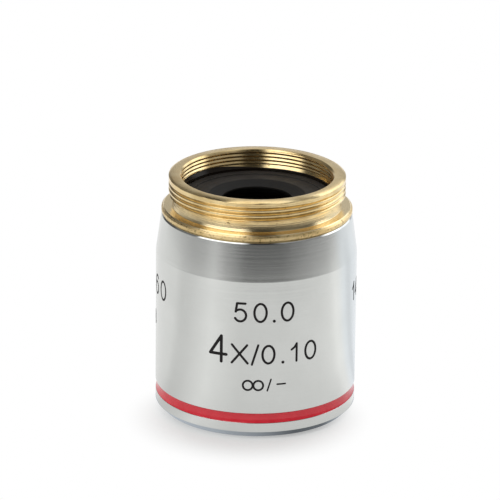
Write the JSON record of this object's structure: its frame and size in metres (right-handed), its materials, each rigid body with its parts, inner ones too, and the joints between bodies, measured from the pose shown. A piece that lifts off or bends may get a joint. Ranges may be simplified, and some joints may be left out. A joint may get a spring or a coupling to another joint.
{
  "type": "microscope objective",
  "caption": "Low-power plan microscope objective: satin chrome sleeve with a red band, brass mounting thread with shoulder, and lens cells stacked in an inner barrel.",
  "frame": {"origin": "centre of the nose face, the plane that the working distance is measured from", "axes": "+Z along the optical axis, from the nose towards the mounting thread"},
  "size_m": [0.0285, 0.0284, 0.0345],
  "materials": {
    "brass": "fine turned",
    "satin_chrome": "satin",
    "red_enamel": "gloss enamel",
    "black_anodised": "black anodised",
    "screw_steel": "blackened",
    "lens_glass": "polished and coated"
  },
  "bodies": {
    "root": {"threaded_mount": "brass", "rear_stop_ring": "black_anodised", "outer_sleeve": "satin_chrome", "colour_band": "red_enamel", "lens_barrel": "black_anodised", "parfocal_shim": "brass", "barrel_lock_screws": "screw_steel", "rear_cell": "black_anodised", "rear_crown_lens": "lens_glass", "rear_flint_lens": "lens_glass", "rear_cell_ring": "black_anodised", "rear_spacer": "black_anodised", "middle_cell": "black_anodised", "middle_lens": "lens_glass", "middle_cell_ring": "black_anodised", "front_spacer": "black_anodised", "front_cell": "black_anodised", "front_flint_lens": "lens_glass", "front_crown_lens": "lens_glass", "front_cell_ring": "black_anodised", "stack_ring": "black_anodised", "nose_ring": "black_anodised"}
  },
  "joints": []
}
